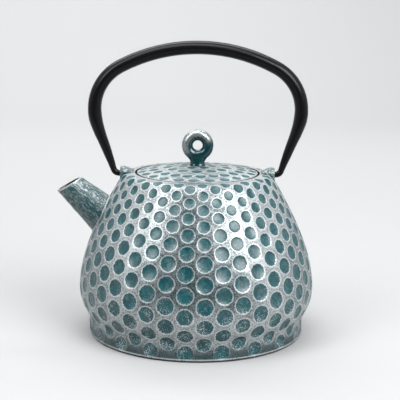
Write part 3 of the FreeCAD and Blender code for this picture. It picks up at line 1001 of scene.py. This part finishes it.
# %% [markdown]
# The joint of spout and pot shows as a thin bright ridge, where silver caught on the raised edge
# of the casting. The edges between the two finishes are exactly that line, so they are copied,
# turned into a curve and given a round bevel.

# %% Lay the bead round the spout's root
BEAD_RADIUS = 0.00055
SPOUT_SIDE = -0.058


def at_root(edge):
    """Whether an edge is between the pot's skin and the spout."""
    kinds = {face.material_index for face in edge.link_faces}
    return kinds == {DIMPLED, BRUSHED} and edge.verts[0].co.x < SPOUT_SIDE


only(pot)
edit_mode()
bpy.ops.mesh.select_mode(type="EDGE")
choose("edges", pot, at_root)
bpy.ops.mesh.duplicate()
bpy.ops.mesh.separate(type="SELECTED")
object_mode()
bead = next(item for item in bpy.context.selected_objects if item is not pot)
only(bead)
bead.name = "spout_bead"
bpy.ops.object.convert(target="CURVE")
bead = bpy.context.object
bead.data.bevel_depth = BEAD_RADIUS
bead.data.bevel_resolution = 2
bpy.ops.object.convert(target="MESH")
bead = bpy.context.object
tidy_normals(bead)
bpy.ops.object.shade_smooth()
paint(bead, silvered)
print("bead:", len(bead.data.polygons), "faces")

# %% Cut the hollow, the channel and the pin sockets


def smooth(piece, degrees=42.0):
    """Smooth shading, with sharp edges above an angle."""
    only(piece)
    bpy.ops.object.shade_smooth_by_angle(angle=math.radians(degrees))


combine(pot, hollow, "DIFFERENCE")
combine(pot, channel, "DIFFERENCE")
for socket in sockets:
    combine(pot, socket, "DIFFERENCE")
smooth(pot)
print("pot:", len(pot.data.polygons), "faces,", loose_edges(pot), "loose edges")


def settle(piece, body, slot, *replaced):
    """Let a piece ride on a body and stand for nodes, which are hidden. The slot is not used."""
    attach(piece, body)
    if replaced:
        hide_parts(*replaced)


settle(pot, "pot", "enamelled_iron", "pot_body")
settle(bead, "pot", "enamelled_iron", "pot_body")

# %% [markdown]
# ## Lid
#
# The lid carries the same marks in four rings, fewer towards the middle. Each ring is made of
# copies of the tile, the rings are joined by bridging their open edges, and the outer edge is
# extruded down, under and back to the hole for the knob's tenon, so that the lid is solid.

# %% Read the lid's dome
lid_node = nodes["lid"]
DOME_READINGS = 120
DOME_TURNS = 48
DOME_INNER = 0.0062
DOME_OUTER = 0.0415
dome_radius = np.linspace(DOME_INNER, DOME_OUTER, DOME_READINGS)
dome_height = []
for radius in dome_radius:
    heights = []
    for turn_by in range(DOME_TURNS):
        angle = turn_by / DOME_TURNS * math.tau
        start = Vector((math.cos(angle) * radius, math.sin(angle) * radius, 0.2))
        _, place, _, _ = lid_node.ray_cast(start, Vector((0.0, 0.0, -1.0)))
        heights.append(place.z)
    dome_height.append(max(heights))
dome_fit = np.polyfit(dome_radius ** 2, np.array(dome_height), 2)


def dome(radius):
    """Height of the lid's top at a radius."""
    return float(np.polyval(dome_fit, radius ** 2))


print("dome from", round(dome(DOME_INNER), 5), "to", round(dome(DOME_OUTER), 5))

# %% Make the four rings of dimples
LID_RINGS = (
    # count, radius, first angle, inner edge, outer edge, mouth radius
    (7, 0.0100, -111.7, 0.0062, 0.0150, 0.00315),
    (13, 0.0204, -90.9, 0.0153, 0.0254, 0.00325),
    (22, 0.0306, -168.0, 0.0257, 0.0346, 0.00320),
    (23, 0.0383, -156.0, 0.0349, 0.0414, 0.00295),
)


def on_lid(flat, lift):
    """A point on the lid's dome over a flat place, lifted off it."""
    radius = flat.length
    slope = (dome(radius + 2 * NEAR) - dome(radius - 2 * NEAR)) / (4 * NEAR)
    outwards = flat.normalized()
    up = Vector((-slope * outwards.x, -slope * outwards.y, 1.0)).normalized()
    return Vector((flat.x, flat.y, dome(radius))) + up * lift


def lid_dimple(angle, turn_half, ring):
    """A copy of the tile on the lid."""
    _, radius, _, inner, outer, mouth = ring
    mouth = mouth * hand.uniform(0.95, 1.03)
    slip = Vector((hand.uniform(-0.12, 0.12), hand.uniform(-0.05, 0.05)))
    outwards = Vector((math.cos(angle), math.sin(angle)))
    along = Vector((-outwards.y, outwards.x))

    def border(flat):
        corner = angle + flat.x / BORDER * turn_half
        share = -flat.y / BORDER
        edge = radius + share * ((outer - radius) if share > 0 else (radius - inner))
        return on_lid(Vector((math.cos(corner), math.sin(corner))) * edge, 0.0)

    def bowl(flat):
        out_by = radius - (flat.y + slip.y) * mouth
        return on_lid(outwards * out_by + along * ((flat.x + slip.x) * mouth), flat.z * mouth)

    return tile_copy(border, bowl)


lid_marks = []
for ring in LID_RINGS:
    count = ring[0]
    for index in range(count):
        angle = math.radians(ring[2]) + index * math.tau / count
        lid_marks.append(lid_dimple(angle, math.pi / count, ring))
lid = join_all(lid_marks, "lid_shell")
print("dimples on the lid:", len(lid_marks), "faces", len(lid.data.polygons))

# %% Bridge the rings
made_faces = len(lid.data.polygons)
only(lid)
edit_mode()
bpy.ops.mesh.select_mode(type="EDGE")
for near, far in zip(LID_RINGS, LID_RINGS[1:]):
    low, high = near[4] - NEAR, far[3] + NEAR
    open_edges(lid, lambda place: low < place.xy.length < high)
    bpy.ops.mesh.bridge_edge_loops()
print("gaps bridged:", len(LID_RINGS) - 1)

# %% Close the lid underneath
LID_RADIUS = 0.0421
LID_ROUND = 0.0008
LID_CHAMFER = 0.0003
LID_THICK = 0.0035
RIM_TOP = 0.1092
SKIRT_OUT = 0.0323
SKIRT_IN = 0.0299
SKIRT_LOW = 0.1032
SKIRT_ROUND = 0.0004
WASHER_SEAT = 0.1139
KNOB_SEAT = 0.1174
KNOB_FLAT = 0.0059
TENON_HOLE = 0.0024
UNDERSIDE_RADII = (0.022, 0.014)
WASHER_FLAT = 0.0065
edge_top = dome(LID_RADIUS - LID_ROUND)
open_edges(lid, lambda place: place.xy.length > LID_RINGS[3][4] - NEAR)
for radius, height in (
    (LID_RADIUS - LID_ROUND, edge_top),
    (LID_RADIUS - LID_ROUND * HALF_ROUND, edge_top - LID_ROUND * HALF_ROUND),
    (LID_RADIUS, edge_top - LID_ROUND),
    (LID_RADIUS, RIM_TOP + LID_CHAMFER),
    (LID_RADIUS - LID_CHAMFER, RIM_TOP),
    (SKIRT_OUT, RIM_TOP),
    (SKIRT_OUT, SKIRT_LOW + SKIRT_ROUND),
    (SKIRT_OUT - SKIRT_ROUND, SKIRT_LOW),
    (SKIRT_IN + SKIRT_ROUND, SKIRT_LOW),
    (SKIRT_IN, SKIRT_LOW + SKIRT_ROUND),
    (SKIRT_IN, dome(SKIRT_IN) - LID_THICK),
    *((radius, dome(radius) - LID_THICK) for radius in UNDERSIDE_RADII),
    (WASHER_FLAT, WASHER_SEAT),
    (TENON_HOLE, WASHER_SEAT),
):
    extrude_to(lid, radius, height)
open_edges(lid, lambda place: abs(place.xy.length - LID_RINGS[0][3]) < 2 * NEAR
           and place.z > KNOB_SEAT - 10 * NEAR)
extrude_to(lid, KNOB_FLAT, KNOB_SEAT)
extrude_to(lid, TENON_HOLE, KNOB_SEAT)
open_edges(lid, lambda place: place.xy.length < TENON_HOLE + 2 * NEAR)
bpy.ops.mesh.bridge_edge_loops()
object_mode()
tidy_normals(lid)
print("lid closed:", loose_edges(lid), "loose edges")

# %% Paint the lid
use_pot_finishes(lid, DIMPLED)
plain_map(lid, lambda face: face.index >= made_faces)
for face in lid.data.polygons:
    under = face.normal.z < -0.2 and face.center.xy.length < SKIRT_IN
    side = face.center.xy.length > LID_RADIUS - LID_CHAMFER and face.center.z < edge_top - LID_ROUND * 0.5
    if under or side or face.center.z < RIM_TOP + NEAR:
        face.material_index = INSIDE
smooth(lid)
settle(lid, "lid", "enamelled_iron", "lid")
print("lid:", len(lid.data.polygons), "faces")

# %% [markdown]
# ## Knob
#
# The knob is a cast ring on a short neck. A torus and a neck that is extruded from a circle are
# joined, then a voxel remesh and a smoothing pass melt the joint into the soft hollow that casting
# leaves there.

# %% Material: knob enamel
KNOB_CENTRE = 0.1316
KNOB_TEAL = (0.0008, 0.022, 0.026, 1.0)
KNOB_SILVER = (0.27, 0.290, 0.295, 1.0)
WIPED_AND_LIT_SIDE = (-0.5, 0.0, 0.86)
knob_enamel = Finish("knob_enamel")
spot = knob_enamel.here()
on_ring = knob_enamel.add("Mapping", "Vector", spot, Location=(0.0, 0.0, -KNOB_CENTRE), Scale=(1.0, 0.0, 1.0))
from_hole = knob_enamel.add("VectorMath", "Value", on_ring, operation="LENGTH")
lean = knob_enamel.add("VectorMath", "Value", on_ring, WIPED_AND_LIT_SIDE, operation="DOT_PRODUCT")
worn_off = knob_enamel.group(specks, spot, Size=0.0014, Share=0.2)
# Silver on the ring's outer face only towards the upper left: partly silver wiped on there, partly a painted
# highlight where the left and top lamps fall.
silver_and_light = from_hole.step(0.0058, 0.0080) * lean.step(-0.0045, 0.003) * (1.0 - worn_off * 0.7)
knob_enamel.set(Base_Color=knob_enamel.mix(silver_and_light, KNOB_TEAL, KNOB_SILVER),
                Metallic=silver_and_light * 0.8, Roughness=silver_and_light * 0.14 + 0.15)
knob_enamel.bump(knob_enamel.group(grain, spot, Size=0.002), 0.3, 0.0004)
knob_enamel.tell()

# %% Cast the knob
RING_TUBE = 0.00385
RING_RADIUS = 0.00715
bpy.ops.mesh.primitive_torus_add(
    major_segments=72, minor_segments=36, major_radius=RING_RADIUS, minor_radius=RING_TUBE,
    location=(0.0, 0.0, KNOB_CENTRE), rotation=(math.pi / 2, 0.0, 0.0))
knob = bpy.context.object
knob.name = "knob"
apply_moves()
knob.data.uv_layers.remove(knob.data.uv_layers[0])

NECK_SECTIONS = (
    # height, half width, half depth
    (KNOB_SEAT, KNOB_FLAT, 0.0049),
    (KNOB_SEAT + 0.0012, 0.0052, 0.0043),
    (KNOB_SEAT + 0.0032, 0.0050, 0.0040),
    (KNOB_SEAT + 0.0087, 0.0090, 0.0028),
)
bpy.ops.mesh.primitive_circle_add(vertices=48, radius=1.0, fill_type="NGON")
neck = bpy.context.object
edit_mode()
pick_all()
before = (0.0, 1.0, 1.0)
for height, wide, deep in NECK_SECTIONS:
    if before[0]:
        bpy.ops.mesh.extrude_region_move()
    bpy.ops.transform.translate(value=(0.0, 0.0, height - before[0]))
    bpy.ops.transform.resize(value=(wide / before[1], deep / before[2], 1.0),
                             center_override=(0.0, 0.0, height))
    before = (height, wide, deep)
object_mode()
tidy_normals(neck)
combine(knob, neck, "UNION")
modify(knob, "REMESH", mode="VOXEL", voxel_size=0.00036)
modify(knob, "SMOOTH", factor=0.5, iterations=8)
print("knob ring and neck:", len(knob.data.polygons), "faces")

# %% Add the tenon and its peened end
TENON_RADIUS = 0.0023
TENON_TOP = KNOB_SEAT + 0.001
WASHER_LOW = WASHER_SEAT - 0.001
PEEN_LOW = WASHER_LOW - 0.0015
tenon = turned("tenon", [
    (0.0, TENON_TOP), (TENON_RADIUS, TENON_TOP), (TENON_RADIUS, WASHER_LOW), (0.0036, WASHER_LOW),
    (0.0034, WASHER_LOW - 0.0007), (0.0027, PEEN_LOW), (0.0, PEEN_LOW),
], 32)
combine(knob, tenon, "UNION")
smooth(knob, 50.0)
paint(knob, knob_enamel)
settle(knob, "lid", "knob_iron", "lid_knob")
print("knob:", len(knob.data.polygons), "faces,", loose_edges(knob), "loose edges")

# %% [markdown]
# ## Handle
#
# The handle is one bent bar with satin black paint, thick at the grip and drawn out to thin
# hooks. It is a copy of the measured bar. The real legs bow a little less than the measured ones,
# so the copy's legs are drawn in by a table of heights and shifts. The paint is nearly black, with
# a soft unevenness in the gloss and a faint grain as bump.

# %% Draw the legs in
LEG_HEIGHTS = (0.1105, 0.1140, 0.1205, 0.1275, 0.1310, 0.1344, 0.1414, 0.1480, 0.1530)
LEG_SHIFTS = (0.0, 0.0006, 0.0015, 0.0022, 0.0023, 0.0022, 0.0014, 0.0004, 0.0)
handle = add_object("handle", nodes["bail_handle"].data.copy())
for vertex in handle.data.vertices:
    drawn_in = float(np.interp(vertex.co.z, LEG_HEIGHTS, LEG_SHIFTS))
    vertex.co.x -= math.copysign(drawn_in, vertex.co.x)
print("handle:", len(handle.data.polygons), "faces, legs drawn in by", max(LEG_SHIFTS))

# %% Paint the handle
satin = Finish("satin_black")
spot = satin.here()
haze = satin.noise(spot, 70.0, 4.0)
satin.set(Base_Color=satin.mix(haze, (0.002, 0.002, 0.0023, 1.0), (0.005, 0.005, 0.0055, 1.0)),
          Roughness=haze * 0.10 + 0.19, Specular_IOR_Level=0.14)
satin.bump(satin.group(grain, spot, Size=0.0025), 0.12, 0.0003)
satin.tell()
paint(handle, satin)
settle(handle, "handle", "handle_black", "bail_handle")

# %% [markdown]
# ## Infuser
#
# A steel basket hangs in the mouth. Its rim plate and its hem are plain sheet, so the measured
# pieces stay and get brushed steel. The wall and floor are woven wire. A grid of faces gives the
# places of the wires, every second crossing is pushed out and the others in, as in a weave, and
# the Wireframe modifier turns the edges into wire.

# %% Materials: brushed and dull steel
steel = Finish("brushed_steel")
stretched = steel.add("Mapping", "Vector", steel.here(), Scale=(40.0, 40.0, 1500.0))
lines = steel.noise(stretched, 1.0, 3.0)
steel.set(Base_Color=steel.mix(lines, (0.58, 0.585, 0.59, 1.0), (0.74, 0.745, 0.75, 1.0)),
          Metallic=1.0, Roughness=lines * 0.2 + 0.2)
steel.bump(lines, 0.15, 0.0001)
steel.tell()
paint(nodes["infuser_rim"], steel)
paint(nodes["infuser_floor_ring"], steel)

dull = Finish("dull_steel")
haze = dull.noise(dull.here(), 400.0, 3.0)
dull.set(Base_Color=dull.mix(haze, (0.36, 0.36, 0.365, 1.0), (0.50, 0.50, 0.505, 1.0)),
         Metallic=1.0, Roughness=haze * 0.3 + 0.3)
dull.tell()
paint(nodes["knob_washer"], dull)

# %% Weave the basket's wall
WIRE = 0.00045
WEAVE = 0.00012
WALL_WIRES = 104
HALF_SHEET = 0.00025
low_corner, high_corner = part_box("infuser_wall")
wall_height = high_corner.z - low_corner.z
mesh_radius = high_corner.x - HALF_SHEET
bpy.ops.mesh.primitive_cylinder_add(
    vertices=WALL_WIRES, radius=mesh_radius, depth=wall_height - WIRE, end_fill_type="NOTHING",
    location=(0.0, 0.0, (low_corner.z + high_corner.z) / 2))
basket_wall = bpy.context.object
basket_wall.name = "basket_wall"
apply_moves()
rounds = round(wall_height / (math.tau * mesh_radius / WALL_WIRES))
lowest_wire = low_corner.z + WIRE / 2
slice_level([lowest_wire + index / rounds * (wall_height - WIRE) for index in range(1, rounds)])


def weave(piece, wire):
    """Turn the edges of a grid into round-looking wire and give it steel."""
    modify(piece, "WIREFRAME", thickness=wire, use_even_offset=False)
    bpy.ops.object.shade_smooth()
    paint(piece, steel)


for vertex in basket_wall.data.vertices:
    column = round(math.atan2(vertex.co.y, vertex.co.x) / math.tau * WALL_WIRES)
    row = round((vertex.co.z - low_corner.z) / (wall_height / rounds))
    push = WEAVE if (column + row) % 2 else -WEAVE
    outwards = vertex.co.xy.normalized() * push
    vertex.co.x += outwards.x
    vertex.co.y += outwards.y
weave(basket_wall, WIRE)
settle(basket_wall, "infuser", "infuser_steel", "infuser_wall")
print("basket wall:", len(basket_wall.data.polygons), "faces in", rounds, "rounds")

# %% Weave the basket's floor
floor_low, floor_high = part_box("infuser_floor")
FLOOR_CELLS = 34
FLOOR_EDGE = floor_high.x - 0.0003
FLOOR_WIRE = WIRE * 0.8
bpy.ops.mesh.primitive_grid_add(
    x_subdivisions=FLOOR_CELLS, y_subdivisions=FLOOR_CELLS, size=2 * floor_high.x,
    location=(0.0, 0.0, (floor_low.z + floor_high.z) / 2))
basket_floor = bpy.context.object
basket_floor.name = "basket_floor"
apply_moves()
edit_mode()
bpy.ops.mesh.select_mode(type="FACE")
choose("faces", basket_floor, lambda face: max(vertex.co.xy.length for vertex in face.verts) > FLOOR_EDGE)
bpy.ops.mesh.delete(type="FACE")
object_mode()
pitch = 2 * floor_high.x / FLOOR_CELLS
for vertex in basket_floor.data.vertices:
    crossing = round(vertex.co.x / pitch) + round(vertex.co.y / pitch)
    vertex.co.z += WEAVE / 2 if crossing % 2 else -WEAVE / 2
weave(basket_floor, FLOOR_WIRE)
settle(basket_floor, "infuser", "infuser_steel", "infuser_floor")
print("basket floor:", len(basket_floor.data.polygons), "faces")

# %% [markdown]
# ## Finish
#
# The tile has done its work and goes.

# %% Remove the tile
bpy.data.objects.remove(tile)
